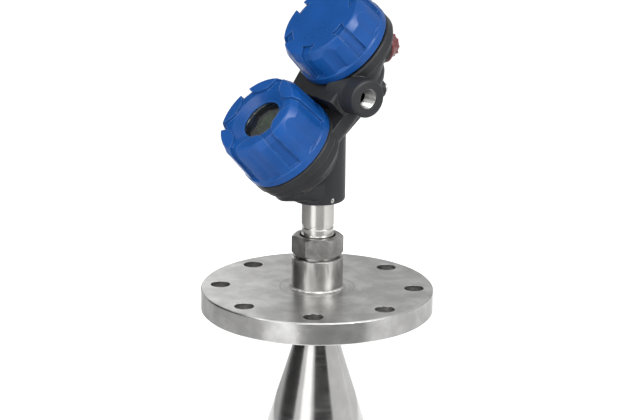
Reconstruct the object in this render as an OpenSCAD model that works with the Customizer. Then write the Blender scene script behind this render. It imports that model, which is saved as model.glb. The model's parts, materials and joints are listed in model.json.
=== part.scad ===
// Radar level transmitter: twin-compartment head on a flanged horn antenna.
// Millimetres. Origin: centre of the flange's sealing face. +Z up, the covers
// face -Y and up, the side conduit entry faces +X.

/* [Flange] */
// Outer diameter of the flange
flange_d = 228.6; // [215:0.1:245]
// Thickness of the flange with its raised face
flange_t = 23.9; // [20:0.1:30]
// Diameter of the raised sealing face
face_d = 157.2; // [140:0.1:165]
// Height of the raised sealing face
face_h = 1.6; // [1:0.1:3]
// Pitch circle diameter of the bolt holes
bolt_pcd = 190.5; // [185:0.1:195]
// Diameter of each bolt hole
bolt_d = 19.1; // [14:0.1:22]
// Number of bolt holes
bolt_n = 8; // [4:4:12]
// Angle of the first bolt hole from +X
bolt_turn = 9; // [0:1:45]
// Bevel on the rim edges of the flange
rim_bevel = 1.2; // [0.5:0.1:2.5]

/* [Horn] */
// Outer diameter at the mouth of the horn
mouth_d = 97; // [80:0.5:120]
// Length of the horn below the sealing face
horn_l = 118; // [90:1:160]
// Outer diameter of the horn where it leaves the flange
throat_d = 27.6; // [24:0.1:32]
// Wall of the horn
horn_wall = 2; // [1.2:0.1:3]
// Height of the horn's stub inside the flange
stub_h = 21; // [12:0.5:23]
// Length of the dielectric cone's point below the sealing face
cone_l = 46; // [30:1:70]

/* [Process hub] */
// Diameter of the hub above the flange
hub_d = 50.6; // [46:0.1:56]
// Height of the hub's plain barrel
hub_h = 32.1; // [25:0.1:45]
// Diameter of the hub's outside thread
hub_thread_d = 40.8; // [38:0.1:42]
// Length of the hub's outside thread
hub_thread_h = 10.2; // [8:0.1:14]
// Leg of the weld bead round the foot of the hub
weld_leg = 2.6; // [1.5:0.1:4]

/* [Coupling nut] */
// Distance across the flats of the nut
nut_af = 44.45; // [43.5:0.05:50]
// Height of the nut
nut_h = 19.4; // [16:0.1:26]
// Opening in the top of the nut
nut_open_d = 35.6; // [35:0.1:37]
// Gap between the nut and the hub's shoulder
nut_gap = 2.1; // [1:0.1:4]
// Turn of the nut's flats from the front
nut_turn = 59.4; // [0:0.1:60]
// Thickness of the slip ring under the nut's shoulder
slip_t = 0.8; // [0.5:0.1:1.5]

/* [Neck] */
// Diameter of the neck
neck_d = 32.2; // [30:0.1:34]
// Diameter of the neck's collar inside the nut
collar_d = 39; // [37:0.1:40]
// Height of the neck's collar
collar_h = 4; // [3:0.1:6]
// Diameter of the neck's journal inside the head
journal_d = 30; // [26:0.1:31]
// Length of the neck's journal inside the head
journal_h = 23; // [18:0.5:26]
// Diameter of the neck's lower spigot inside the hub
spigot_d = 31.6; // [28:0.1:32]
// Outer diameter of the waveguide tube
guide_d = 19; // [14:0.1:20]
// Wall of the waveguide tube
guide_wall = 1.5; // [1:0.1:2.5]

/* [Head] */
// Height of the head's foot above the sealing face
head_z = 113; // [108:0.5:125]
// Diameter of the head's column
column_d = 53; // [48:0.5:60]
// Tilt of both compartments from upright
tilt = 45; // [45:1:50]
// Distance from the column's axis forward to the display compartment
display_fwd = 34.9; // [30:0.1:40]
// Height of the display compartment above the head's foot
display_up = 58.1; // [56:0.1:66]
// Distance between the axes of the two compartments
drum_pitch = 110.4; // [106:0.1:118]
// Step of the wiring compartment out along its axis
wiring_step = 20.2; // [16:0.1:24]
// Outer diameter of each compartment's flange
drum_d = 97; // [94:0.5:102]
// Outer diameter of each compartment's threaded mouth
mouth_thread_d = 83; // [80:0.1:84]
// Bore of each compartment
bay_d = 75; // [70:0.5:77]
// Height of each threaded mouth above its cover's rim plane
mouth_h = 9; // [7:0.1:10]
// Depth of the display compartment below its cover's rim plane
display_bay = 32; // [28:0.5:34]
// Depth of the wiring compartment below its cover's rim plane
wiring_bay = 18; // [16:0.5:20]
// Width of the web between the compartments
web_w = 76; // [68:0.5:84]

/* [Covers] */
// Diameter of each cover at its rim
cover_d = 98; // [95:0.5:104]
// Depth of the display cover
display_cover_h = 52; // [50:0.5:58]
// Depth of the wiring cover
wiring_cover_h = 40; // [36:0.5:46]
// Height of the plain band round each rim
band_h = 8.5; // [7:0.1:12]
// Height of the grip lobes above the cover
lobe_h = 3; // [2:0.1:3.5]
// Radius of each round grip lobe
lobe_r = 18.9; // [16:0.1:19.5]
// Number of grip lobes
lobe_n = 6; // [5:1:6]
// Slope of the covers' sides
draft = 3.2; // [1:0.1:4]
// Clearance under the display cover's rim
display_gap = 1.2; // [0.8:0.1:2]
// Clearance under the wiring cover's rim
wiring_gap = 2.6; // [1.5:0.1:3.5]
// Diameter of the window's opening
window_d = 41.2; // [36:0.1:44]
// Thickness of the window glass
window_t = 6; // [4:0.1:8]
// Width of the window's hidden edge
window_edge = 3.3; // [2.5:0.1:4]
// Diameter of the dished ring round the window
dish_d = 60; // [56:0.5:64]

/* [Conduit entries] */
// Outer diameter of each conduit boss
boss_d = 37.2; // [32:0.1:42]
// Bore of each conduit entry
entry_d = 19; // [16:0.1:21]
// Reach of the side boss from the head's middle plane
side_reach = 60; // [54:0.5:66]
// Reach of the rear boss behind the wiring compartment's middle
rear_out = 43.12; // [41.12:0.5:49.12]
// Drop of the rear entry below the wiring compartment's middle
rear_drop = 6.45; // [3.45:0.5:10.45]
// Largest diameter of the plug's head
plug_d = 33; // [30:0.1:38]
// Length of the plug's head
plug_h = 14; // [10:0.1:18]

/* [Fits] */
// Clearance between pieces that seat in one another
fit = 0.06; // [0.03:0.01:0.1]
// Clearance between pieces that turn or screw on one another
run = 0.3; // [0.25:0.01:0.4]
// Radial clearance of the head on the neck's journal
swivel_fit = 0.08; // [0.04:0.01:0.1]
// Travel of each key
key_travel = 0.8; // [0.5:0.1:1]

/* [Hidden] */
$fn = 96;

// Small edges, shared by many pieces
edge = 0.8;
land = 0.2;

// Stack of levels above the sealing face
hub_shoulder = flange_t + hub_h;
hub_top = hub_shoulder + hub_thread_h;
nut_z = hub_shoulder + nut_gap;
collar_z = hub_top + fit;
collar_top = collar_z + collar_h;
slip_z = collar_top + fit;
nut_shoulder = slip_z + slip_t + fit;
nut_top = nut_z + nut_h;
nut_bore_r = hub_thread_d / 2 + run;
journal_top = head_z + journal_h;
spigot_z = flange_t + 7;
nut_corner = 3.2;
nut_bevel_h = 1.85;

// Turned grooves that show between the nut and the neck
groove_h = 3;
groove_r = neck_d / 2 - 1.4;
ring_h = 3.6;
ring_z = nut_top + 1.1 + groove_h;
neck_foot = ring_z + ring_h + groove_h;

// O-rings
ring_wire = 2.2;
ring_squeeze = 0.1;
process_seal_z = flange_t + 20;
neck_seal_z = head_z + 12;
seal_groove_h = ring_wire + 0.4;

// Horn
throat_r = throat_d / 2;
mouth_r = mouth_d / 2;
horn_bore_r = throat_r - horn_wall - 0.6;

// Head
drum_r = drum_d / 2;
drum_body_r = drum_r - 2.4;
drum_edge = 1.3;
drum_rim_h = 9.4;
display_back_r = 28;
wiring_back_r = 30;
back_wall = 8;
thread_r = mouth_thread_d / 2;
bay_r = bay_d / 2;
column_r = column_d / 2;
web_r = web_w / 2;
web_back = 24;
web_front = 4;
web_top = drum_pitch - 22;
web_round = 12;
column_top = display_up + 13.5;
foot_round = 3;
chin_drop = 7;
chin_h = 10;
chin_foot_h = 26;
chin_inset = 2.5;
shoulder_s = 13;
saddle_v = web_top - 18;
saddle_t = 8;
saddle_r = 22;
side_v = drum_pitch - 37.7;
side_s = 0.7;
side_flare = 5;
flare_root = 16;
flare_h = 20;
side_round = 3;
bridge_r = web_r - 1;
bridge_v = cover_d / 2 + 1.5;
bridge_top = wiring_step - wiring_gap - 1.1;
bridge_round = 4;
bridge_l = 16;
boss_r = boss_d / 2;
entry_r = entry_d / 2;
wiring_y = drum_pitch * cos(tilt) - wiring_step * sin(tilt) - display_fwd;
wiring_up = display_up + drum_pitch * sin(tilt) + wiring_step * cos(tilt);
rear_reach = wiring_y + rear_out;
rear_up = wiring_up - rear_drop;
entry_depth = 28;
throat_bore_r = entry_r - 2.5;
boss_root = wiring_y + 1.12;
rear_boss_r = boss_r - 1.4;
spot_depth = 1.5;
spot_margin = 1.5;
journal_bore_r = journal_d / 2 + swivel_fit;
rf_r = 12;
rf_h = 9;
rf_bay_h = 26;
probe_r = 5;
lock_z = head_z + 4.4;
lock_r = 2.5;
lock_screw_h = 10;
ground_x = 14;
ground_up = rear_up - 38;
ground_boss_r = 9;
ground_reach = rear_reach - 9;
ground_hole_h = 12;
ground_screw_r = 2.5;
ground_head_r = 4.6;
ground_head_h = 3.2;
clamp_r = 6.2;
clamp_t = 1.6;
slot_w = 1.2;
cover_lock_r = 1.5;
cover_lock_pcr = cover_d / 2 - 2.6;
cover_lock_turn = 200;
cover_lock_depth = 8;
cover_room = 1;

// Covers
rim_r = cover_d / 2;
cover_bore_r = thread_r + run;
cover_bore_h = mouth_h + 2.5;
cover_bay_r = thread_r - 1.5;
rim_counter_r = cover_bore_r + ring_wire + 0.3;
rim_counter_h = 3.2;
bevel_h = 8;
bevel_w = 3.4;
lobe_pcr = rim_r - 1;
display_phase = 6.7;
wiring_phase = 21.5;
cover_roof = 8;
roof_slope = 6;
scallop_r = 20;
scallop_cut = 0.7;
window_r = window_d / 2;
glass_r = window_r + window_edge;
dish_r = dish_d / 2;
dish_depth = 9;
lip_t = 1.5;
dish_inside = 8;
dish_slope = 1.5;
gasket_t = 1;
lip_s = display_cover_h - dish_depth - lip_t;
glass_top = lip_s - gasket_t;
glass_s = glass_top - window_t;
retainer_t = 4;
retainer_r = glass_r + 1.8;
notch_pcr = window_r + 2.2;
window_boss_r = dish_r;
window_boss_s = glass_s - retainer_t - 1;

// Display module
cup_wall = 2;
cup_r = bay_r - run - 0.3;
cup_floor = 3;
cup_s = -display_bay + 0.3;
board_t = 1.6;
board_r = cup_r - cup_wall - 0.4;
power_s = cup_s + cup_floor + 6;
processor_s = power_s + board_t + 10;
spacer_r = 3;
spacer_hole_r = 1.6;
capacitor_r = 4.5;
capacitor_h = 7;
capacitor_x = 14;
capacitor_v = 8;
spacer_pcr = board_r - 5;
bezel_s = 0;
bezel_wall = 2;
bezel_top = window_boss_s - 2.4;
bezel_plate = 2.5;
display_board_s = bezel_top - bezel_plate - 5.5;
glass_w = 46;
glass_h = 27;
glass_v = 5;
glass_edge = 5;
key_r = 3.2;
key_room = 0.25;
key_pitch = 13;
key_v = -22;
key_proud = 1.2;
key_flange_t = 0.8;
key_stem_r = 1.5;
key_foot_s = bezel_top - bezel_plate - key_flange_t - run;
bezel_post_r = 3;
bezel_screw_r = 1.4;
bezel_head_r = 2.6;
bezel_head_h = 1.7;
bezel_screw_pcr = cup_r - bezel_wall - bezel_post_r - 0.8;
bezel_screw_turn = 20;

// Wiring compartment
block_w = 40;
block_d = 17;
block_h = 15;
block_v = 19.5;
block_floor = -wiring_bay;
terminal_n = 5;
terminal_pitch = 7.6;
terminal_r = 2.1;
terminal_hole_r = 1.6;
terminal_pocket = 6;
terminal_wall = 0.7;
clamp_plate_t = 1.4;
block_screw_r = 1.5;
block_screw_in = 2.6;
block_head_r = 2.3;
block_head_h = 1.6;
inner_ground_x = -20;
inner_ground_v = -14;
washer_r = 4.2;
washer_t = 1.4;
feed_r = 6;
feed_x = -11;
feed_v = web_top - 8;
feed_s = -12;
feed_h = wiring_step - wiring_bay - feed_s;
passage_r = 4.5;

// Plug
plug_gap = 0.1;
plug_seal_t = 1.4;
plug_shank_h = 12;
plug_nose_r = plug_d / 2 - 8;
plug_rim_h = 2.2;
plug_edge = 1.2;
rib_n = 10;
rib_r = 1.6;
rib_foot = 1.4;

function side_r(s) = rim_r - 0.5 - s * tan(draft);

module on_display() translate([0, -display_fwd, head_z + display_up]) rotate([tilt, 0, 0]) children();
module on_wiring() on_display() translate([0, drum_pitch, wiring_step]) children();
module to_right() rotate([0, 90, 0]) children();
module to_rear() rotate([-90, 0, 0]) children();
module ring(outer, inner, h) difference() {
    cylinder(r = outer, h = h);
    translate([0, 0, -1]) cylinder(r = inner, h = h + 2);
}
module o_ring(mid_r, wire) rotate_extrude() translate([mid_r, 0]) circle(r = wire / 2, $fn = 32);
module around(n, r, phase = 0) for (k = [0 : n - 1])
    rotate([0, 0, phase + 360 * k / n]) translate([r, 0, 0]) children();

// ---- Process connection ----

module flange() color([0.66, 0.67, 0.68]) difference() {
    rotate_extrude() polygon([
        [throat_r - land + fit, 0], [face_d / 2, 0], [face_d / 2, face_h],
        [flange_d / 2 - rim_bevel, face_h], [flange_d / 2, face_h + rim_bevel],
        [flange_d / 2, flange_t - rim_bevel], [flange_d / 2 - rim_bevel, flange_t],
        [throat_r - land + fit, flange_t]
    ]);
    around(bolt_n, bolt_pcd / 2, bolt_turn) translate([0, 0, -1]) cylinder(d = bolt_d, h = flange_t + 2);
}

module horn() color([0.72, 0.73, 0.75]) rotate_extrude() polygon([
    [horn_bore_r, stub_h], [throat_r - land, stub_h], [throat_r - land, -fit], [throat_r, -fit],
    [mouth_r, -horn_l], [mouth_r - horn_wall, -horn_l],
    [horn_bore_r, -horn_wall * 3], [horn_bore_r, stub_h]
]);

module dielectric_cone() color([0.93, 0.93, 0.91]) rotate_extrude() polygon([
    [0, -cone_l], [edge, -cone_l], [horn_bore_r - fit, -horn_wall * 3],
    [horn_bore_r - fit, flange_t - fit], [0, flange_t - fit]
]);

module process_hub() color([0.68, 0.69, 0.7]) difference() {
    rotate_extrude() polygon([
        [horn_bore_r, flange_t], [hub_d / 2, flange_t], [hub_d / 2, hub_shoulder - 1],
        [hub_d / 2 - 1, hub_shoulder], [hub_thread_d / 2 - edge, hub_shoulder],
        [hub_thread_d / 2 - edge, nut_z], [hub_thread_d / 2, nut_z + edge],
        [hub_thread_d / 2, hub_top - edge], [hub_thread_d / 2 - edge, hub_top], [horn_bore_r, hub_top]
    ]);
    translate([0, 0, spigot_z - land]) cylinder(r = spigot_d / 2 + fit, h = hub_top);
}

module hub_weld() color([0.6, 0.6, 0.6]) rotate_extrude() polygon([
    [hub_d / 2, flange_t], [hub_d / 2 + weld_leg, flange_t],
    for (a = [0 : 15 : 90]) [
        hub_d / 2 + weld_leg * (1 - sin(a)),
        flange_t + 2 * land + weld_leg * (1 - cos(a))
    ]
]);

module neck_adapter() color([0.74, 0.74, 0.73]) difference() {
    rotate_extrude() polygon([
        [guide_d / 2 + fit, spigot_z], [spigot_d / 2, spigot_z],
        [spigot_d / 2, process_seal_z], [spigot_d / 2 - ring_wire - ring_squeeze, process_seal_z],
        [spigot_d / 2 - ring_wire - ring_squeeze, process_seal_z + seal_groove_h],
        [spigot_d / 2, process_seal_z + seal_groove_h], [spigot_d / 2, collar_z],
        [collar_d / 2, collar_z], [collar_d / 2, collar_top], [neck_d / 2, collar_top],
        [neck_d / 2, ring_z - groove_h], [groove_r, ring_z - groove_h], [groove_r, ring_z],
        [neck_d / 2 - 2 * land, ring_z], [neck_d / 2 - 2 * land, ring_z + ring_h],
        [groove_r - land, ring_z + ring_h], [groove_r - land, neck_foot],
        [neck_d / 2, neck_foot + 2 * land], [neck_d / 2, head_z - run], [journal_d / 2, head_z - run],
        [journal_d / 2, neck_seal_z], [journal_d / 2 - ring_wire - ring_squeeze, neck_seal_z],
        [journal_d / 2 - ring_wire - ring_squeeze, neck_seal_z + seal_groove_h],
        [journal_d / 2, neck_seal_z + seal_groove_h], [journal_d / 2, journal_top - 1],
        [journal_d / 2 - 1, journal_top], [guide_d / 2 + fit, journal_top]
    ]);
}

module process_seal() color([0.1, 0.1, 0.1]) translate([0, 0, process_seal_z + seal_groove_h / 2])
    o_ring((spigot_d - ring_wire - ring_squeeze) / 2, ring_wire - ring_squeeze);

module neck_seal() color([0.1, 0.1, 0.1]) translate([0, 0, neck_seal_z + seal_groove_h / 2])
    o_ring((journal_d - ring_wire - ring_squeeze) / 2, ring_wire - ring_squeeze);

module waveguide_tube() color([0.8, 0.68, 0.4])
    translate([0, 0, flange_t + fit]) ring(guide_d / 2, guide_d / 2 - guide_wall, journal_top - flange_t);

module slip_ring() color([0.75, 0.7, 0.5])
    translate([0, 0, slip_z]) ring(nut_bore_r - 2 * land, neck_d / 2 + run, slip_t);

module coupling_nut() color([0.62, 0.61, 0.58]) difference() {
    intersection() {
        translate([0, 0, nut_z]) rotate([0, 0, nut_turn]) cylinder(d = nut_af / cos(30), h = nut_h, $fn = 6);
        rotate_extrude() polygon([
            [0, nut_z], [nut_af / 2, nut_z], [nut_af / 2 + nut_corner, nut_z + nut_bevel_h],
            [nut_af / 2 + nut_corner, nut_top - nut_bevel_h], [nut_af / 2, nut_top], [0, nut_top]
        ]);
    }
    translate([0, 0, nut_z - 1]) cylinder(r = nut_bore_r, h = nut_shoulder - nut_z + 1);
    translate([0, 0, nut_z]) cylinder(d = nut_open_d, h = nut_h + 1);
}

// ---- Head casting ----

module drum_outside(gap, body_h, back_r, back_s) rotate_extrude() polygon([
    [0, mouth_h], [thread_r - edge, mouth_h], [thread_r, mouth_h - edge], [thread_r, -gap],
    [drum_r - drum_edge, -gap], [drum_r, -gap - drum_edge], [drum_r, -gap - drum_rim_h],
    [drum_r - edge, -gap - drum_rim_h - drum_edge], [drum_body_r, -gap - drum_rim_h - 2],
    [drum_body_r, -body_h + 2 * drum_edge], [drum_body_r - edge, -body_h + edge],
    [drum_body_r - 2.2, -body_h],
    [back_r, -back_s], [0, -back_s]
]);

module column() rotate_extrude() polygon([
    [0, head_z], [column_r - foot_round, head_z],
    for (a = [15 : 15 : 90]) [
        column_r - foot_round + foot_round * sin(a),
        head_z + foot_round * (1 - cos(a))
    ],
    [column_r, head_z + column_top], [0, head_z + column_top]
]);

// Foot of the casting, swept from the display compartment down to the column
module chin() hull() {
    on_display() translate([0, -display_fwd / 2, -web_back - chin_drop])
        cylinder(r = column_r, h = chin_h, $fn = 48);
    translate([0, 0, head_z + foot_round + 1]) cylinder(r = column_r - chin_inset, h = chin_foot_h, $fn = 48);
}

// Back of the casting, swept from the top of the column up to the web
module saddle() hull() {
    translate([0, 0, head_z + column_top - 6]) cylinder(r = column_r, h = 6, $fn = 48);
    on_display() translate([0, saddle_v, -web_back - saddle_t])
        cylinder(r = saddle_r, h = saddle_t + 1, $fn = 48);
}

// Body of the wiring compartment, swept from its flange back to the web
module shoulder() hull() {
    on_wiring() translate([0, 0, -wiring_gap - shoulder_s]) cylinder(r = drum_body_r - 2, h = 2, $fn = 64);
    on_display() translate([0, web_top, web_round - web_back])
        cylinder(r = web_r - 1, h = web_back - web_round - web_front - 1, $fn = 64);
}

// Half section of the web, with its back edge rounded
module web_half() polygon([
    [0, -web_back],
    for (a = [0 : 15 : 90]) [
        web_r - web_round * (1 - sin(a)),
        -web_back + web_round * (1 - cos(a))
    ],
    [web_r, -web_front], [0, -web_front]
]);

module web() on_display() {
    for (side = [0, 1]) mirror([side, 0, 0]) translate([0, web_top, 0]) rotate([90, 0, 0])
        linear_extrude(height = web_top - display_fwd / 2) web_half();
    translate([0, web_top, 0]) rotate_extrude() web_half();
}

// Raised part of the casting between the two covers, which carries the side boss
module bridge() on_display() hull() {
    translate([-bridge_r, side_v, side_s]) to_right()
        cylinder(r = boss_r - 1, h = 2 * bridge_r, $fn = 48);
    for (x = [bridge_round - bridge_r, bridge_r - bridge_round])
        translate([x, bridge_v, bridge_top - bridge_round]) to_rear()
            cylinder(r = bridge_round, h = bridge_l, $fn = 24);
    translate([-bridge_r, bridge_v, -web_front - 2]) cube([2 * bridge_r, bridge_l, 2]);
}

// Conduit boss from its root to its reach, with its outer edge rounded
module boss(outer, root, reach, edge) rotate_extrude() polygon([
    [0, root], [outer, root],
    for (a = [0 : 18 : 90]) [
        outer - edge * (1 - cos(a)),
        reach - edge * (1 - sin(a))
    ],
    [0, reach]
]);

module side_boss() on_display() translate([0, side_v, side_s]) to_right() {
    boss(boss_r, 0, side_reach, side_round);
    translate([0, 0, web_r - flare_root]) cylinder(r1 = boss_r + side_flare, r2 = boss_r, h = flare_h);
}

module rear_boss() translate([0, 0, head_z + rear_up]) to_rear() boss(rear_boss_r, boss_root, rear_reach, 1);

module ground_boss() translate([ground_x, 0, head_z + ground_up]) to_rear()
    translate([0, 0, boss_root]) cylinder(r = ground_boss_r, h = ground_reach - boss_root);

module bay(depth) translate([0, 0, -depth]) cylinder(r = bay_r, h = depth + mouth_h + 1);

// Room that each cover turns in, above its compartment's flange
module room(gap) translate([0, 0, -gap]) cylinder(r = rim_r + cover_room, h = display_cover_h);

// Spot face that the plug and its seal sit on
module rear_spot() translate([0, 0, head_z + rear_up]) to_rear()
    translate([0, 0, rear_reach - spot_depth])
        cylinder(r = rear_boss_r + spot_margin, h = plug_h + 2 * rear_reach);

// Everything of the casting outside the two drums
module frame_casting() difference() {
    union() {
        column();
        chin();
        saddle();
        shoulder();
        web();
        bridge();
        side_boss();
        ground_boss();
    }
    on_display() room(display_gap);
    on_wiring() room(wiring_gap);
}

module housing() color([0.25, 0.25, 0.27]) difference() {
    union() {
        difference() {
            union() {
                on_display() drum_outside(display_gap, web_back - 2, display_back_r, display_bay + back_wall);
                on_wiring() drum_outside(
                    wiring_gap, wiring_gap + shoulder_s + 2, wiring_back_r, wiring_bay + back_wall
                );
                frame_casting();
            }
            rear_spot();
        }
        rear_boss();
    }
    on_display() bay(display_bay);
    on_wiring() bay(wiring_bay);
    // Bore for the neck's journal and the microwave module above it
    translate([0, 0, head_z - 1]) cylinder(r = journal_bore_r, h = journal_h + 1 + run);
    translate([0, 0, head_z]) cylinder(r = rf_r, h = journal_h + rf_bay_h);
    // Side conduit entry, and the throat that opens it into the bay
    on_display() translate([0, side_v, side_s]) to_right() {
        translate([0, 0, side_reach - entry_depth]) cylinder(r = entry_r, h = entry_depth + 1);
        translate([0, 0, 6]) cylinder(r = throat_bore_r, h = side_reach - entry_depth);
    }
    // Rear conduit entry, straight into the bay
    translate([0, 0, head_z + rear_up]) to_rear()
        translate([0, 0, boss_root + 6]) cylinder(r = entry_r, h = rear_reach);
    // Wire passage between the bays
    on_display() translate([feed_x, 0, feed_s]) to_rear() cylinder(r = passage_r, h = feed_v);
    on_display() translate([feed_x, feed_v, feed_s - 4]) cylinder(r = feed_r, h = feed_h + 8);
    // Tapped holes for the set screws and the ground screw
    translate([0, 0, lock_z]) to_right() cylinder(r = lock_r, h = column_r + 1);
    on_display() lock_hole(display_gap);
    on_wiring() lock_hole(wiring_gap);
    translate([ground_x, 0, head_z + ground_up]) to_rear()
        translate([0, 0, ground_reach - ground_hole_h]) cylinder(r = ground_screw_r, h = ground_hole_h + 1);
}

// Place of the small screw in a drum's flange that locks its cover
module at_cover_lock(gap, depth)
    rotate([0, 0, cover_lock_turn]) translate([cover_lock_pcr, 0, -gap - depth]) children();
module lock_hole(gap) at_cover_lock(gap, cover_lock_depth)
    cylinder(r = cover_lock_r, h = cover_lock_depth + 1);
module lock_screw(gap) at_cover_lock(gap, cover_lock_depth - run)
    cylinder(r = cover_lock_r - fit, h = cover_lock_depth - run + gap - run);

module neck_lock_screw() color([0.75, 0.75, 0.75]) translate([0, 0, lock_z]) to_right() difference() {
    translate([0, 0, journal_d / 2 + run]) cylinder(r = lock_r - fit, h = lock_screw_h);
    translate([0, 0, journal_d / 2 + run + lock_screw_h - 3]) cylinder(r = lock_r / 2, h = 4, $fn = 6);
}

module cover_lock_screws() color([0.7, 0.7, 0.7]) {
    on_display() lock_screw(display_gap);
    on_wiring() lock_screw(wiring_gap);
}

module rf_module() color([0.8, 0.68, 0.4]) translate([0, 0, journal_top + 2 * run]) {
    cylinder(r = rf_r - fit, h = rf_h);
    translate([0, 0, rf_h]) cylinder(r = probe_r, h = 2);
}

module on_ground_boss() translate([ground_x, ground_reach, head_z + ground_up]) to_rear() children();

module ground_screw() color([0.75, 0.75, 0.72]) on_ground_boss() difference() {
    union() {
        translate([0, 0, 1 - ground_hole_h]) cylinder(r = ground_screw_r - fit, h = ground_hole_h + 1);
        translate([0, 0, clamp_t]) cylinder(r = ground_head_r, h = ground_head_h);
    }
    translate([-slot_w / 2, -5, clamp_t + ground_head_h - 1.4]) cube([slot_w, 10, 2]);
}

module ground_clamp() color([0.75, 0.75, 0.72]) on_ground_boss()
    ring(clamp_r, ground_screw_r + fit, clamp_t - fit);

// ---- Electronics ----

module module_cup() color([0.13, 0.13, 0.14]) on_display() difference() {
    translate([0, 0, cup_s]) cylinder(r = cup_r, h = -cup_s + bezel_s - fit);
    translate([0, 0, cup_s + cup_floor]) cylinder(r = cup_r - cup_wall, h = -cup_s + cup_floor);
}

module board(s) translate([0, 0, s]) difference() {
    cylinder(r = board_r, h = board_t);
    around(4, spacer_pcr, 45) translate([0, 0, -1]) cylinder(r = spacer_hole_r, h = board_t + 2);
}

module power_board() color([0.1, 0.35, 0.16]) on_display() union() {
    board(power_s);
    for (k = [-1 : 1]) translate([k * capacitor_x, capacitor_v, power_s + board_t])
        cylinder(r = capacitor_r, h = capacitor_h);
    translate([-12, -18, power_s + board_t]) cube([24, 12, 5]);
}

module processor_board() color([0.1, 0.35, 0.16]) on_display() union() {
    board(processor_s);
    translate([-8, -8, processor_s + board_t]) cube([16, 16, 2]);
    translate([-22, 12, processor_s + board_t]) cube([10, 6, 3]);
    translate([10, 14, processor_s + board_t]) cube([12, 5, 4]);
}

module board_spacers() color([0.8, 0.7, 0.4]) on_display() {
    around(4, spacer_pcr, 45) translate([0, 0, cup_s + cup_floor])
        cylinder(r = spacer_r, h = power_s - cup_s - cup_floor);
    around(4, spacer_pcr, 45) translate([0, 0, power_s + board_t])
        cylinder(r = spacer_r, h = processor_s - power_s - board_t);
}

module display_bezel() color([0.16, 0.16, 0.17]) on_display() difference() {
    translate([0, 0, bezel_s]) cylinder(r = cup_r, h = bezel_top - bezel_s);
    translate([0, 0, bezel_s - 1])
        cylinder(r = cup_r - bezel_wall, h = bezel_top - bezel_s - bezel_plate + 1);
    translate([-(glass_w - glass_edge) / 2, -(glass_h - glass_edge) / 2 + glass_v, bezel_s])
        cube([glass_w - glass_edge, glass_h - glass_edge, bezel_top]);
    for (k = [0 : 3]) translate([(k - 1.5) * key_pitch, key_v, bezel_s])
        cylinder(r = key_r + key_room, h = bezel_top);
    around(2, bezel_screw_pcr, bezel_screw_turn) translate([0, 0, bezel_top - bezel_plate - 1])
        cylinder(r = bezel_screw_r + run, h = bezel_plate + 2);
}

module display_board() color([0.1, 0.35, 0.16]) on_display() difference() {
    union() {
        translate([0, 0, display_board_s]) cylinder(r = cup_r - bezel_wall - 2 * land, h = board_t);
        around(2, bezel_screw_pcr, bezel_screw_turn) translate([0, 0, display_board_s])
            cylinder(r = bezel_post_r, h = bezel_top - bezel_plate - display_board_s - fit);
    }
    around(2, bezel_screw_pcr, bezel_screw_turn) translate([0, 0, display_board_s - 1])
        cylinder(r = bezel_screw_r, h = bezel_top);
}

module display_glass() color([0.35, 0.42, 0.3]) on_display()
    translate([-glass_w / 2, -glass_h / 2 + glass_v, display_board_s + board_t])
        cube([glass_w, glass_h, bezel_top - bezel_plate - display_board_s - board_t - fit]);

module display_screws() color([0.7, 0.7, 0.7]) on_display()
    around(2, bezel_screw_pcr, bezel_screw_turn) difference() {
        union() {
            translate([0, 0, display_board_s - 1.5])
                cylinder(r = bezel_screw_r - fit, h = bezel_top - display_board_s + 2);
            translate([0, 0, bezel_top + fit]) cylinder(r = bezel_head_r, h = bezel_head_h);
        }
        translate([-edge / 2, -bezel_head_r - 1, bezel_top + 1]) cube([edge, 2 * bezel_head_r + 2, 2]);
    }

// Key number k of the row, with a flange that stops it under the bezel
module key(k) color([0.3, 0.31, 0.33]) on_display() translate([(k - 1.5) * key_pitch, key_v, 0]) union() {
    translate([0, 0, key_foot_s]) cylinder(r = key_r + 1, h = key_flange_t);
    translate([0, 0, key_foot_s]) cylinder(r = key_r, h = bezel_top + key_proud - key_foot_s);
    translate([0, 0, display_board_s + board_t + key_travel + run])
        cylinder(r = key_stem_r, h = key_foot_s - display_board_s - board_t - key_travel);
}
module key_back() key(0);
module key_down() key(1);
module key_up() key(2);
module key_enter() key(3);

// ---- Wiring compartment ----

module terminal_places() for (k = [0 : terminal_n - 1])
    translate([(k - (terminal_n - 1) / 2) * terminal_pitch, 0, 0]) children();

module terminal_block() color([0.2, 0.22, 0.2])
    on_wiring() translate([0, block_v, block_floor]) difference() {
        translate([-block_w / 2, -block_d / 2, 0]) cube([block_w, block_d, block_h]);
        translate([0, -block_d / 4, 0]) terminal_places()
            translate([-terminal_pitch / 2 + terminal_wall, -block_d / 4 - 1, block_h - terminal_pocket])
                cube([terminal_pitch - 2 * terminal_wall, block_d / 2 + 1, terminal_pocket + 1]);
        terminal_places() translate([0, -block_d / 4, 3]) cylinder(r = terminal_hole_r, h = block_h);
        for (x = [-1, 1]) translate([x * (block_w / 2 - block_screw_in), block_d / 4, -1])
            cylinder(r = block_screw_r, h = block_h + 2);
    }

module terminal_clamps() color([0.75, 0.75, 0.72]) on_wiring()
    translate([0, block_v - block_d / 4, block_floor + block_h - terminal_pocket + fit])
        terminal_places() difference() {
            translate([-terminal_pitch / 2 + 1, -block_d / 4 + edge / 2, 0])
                cube([terminal_pitch - 2, block_d / 2 - edge, clamp_plate_t]);
            translate([0, 0, -1]) cylinder(r = terminal_hole_r, h = 4);
        }

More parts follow.
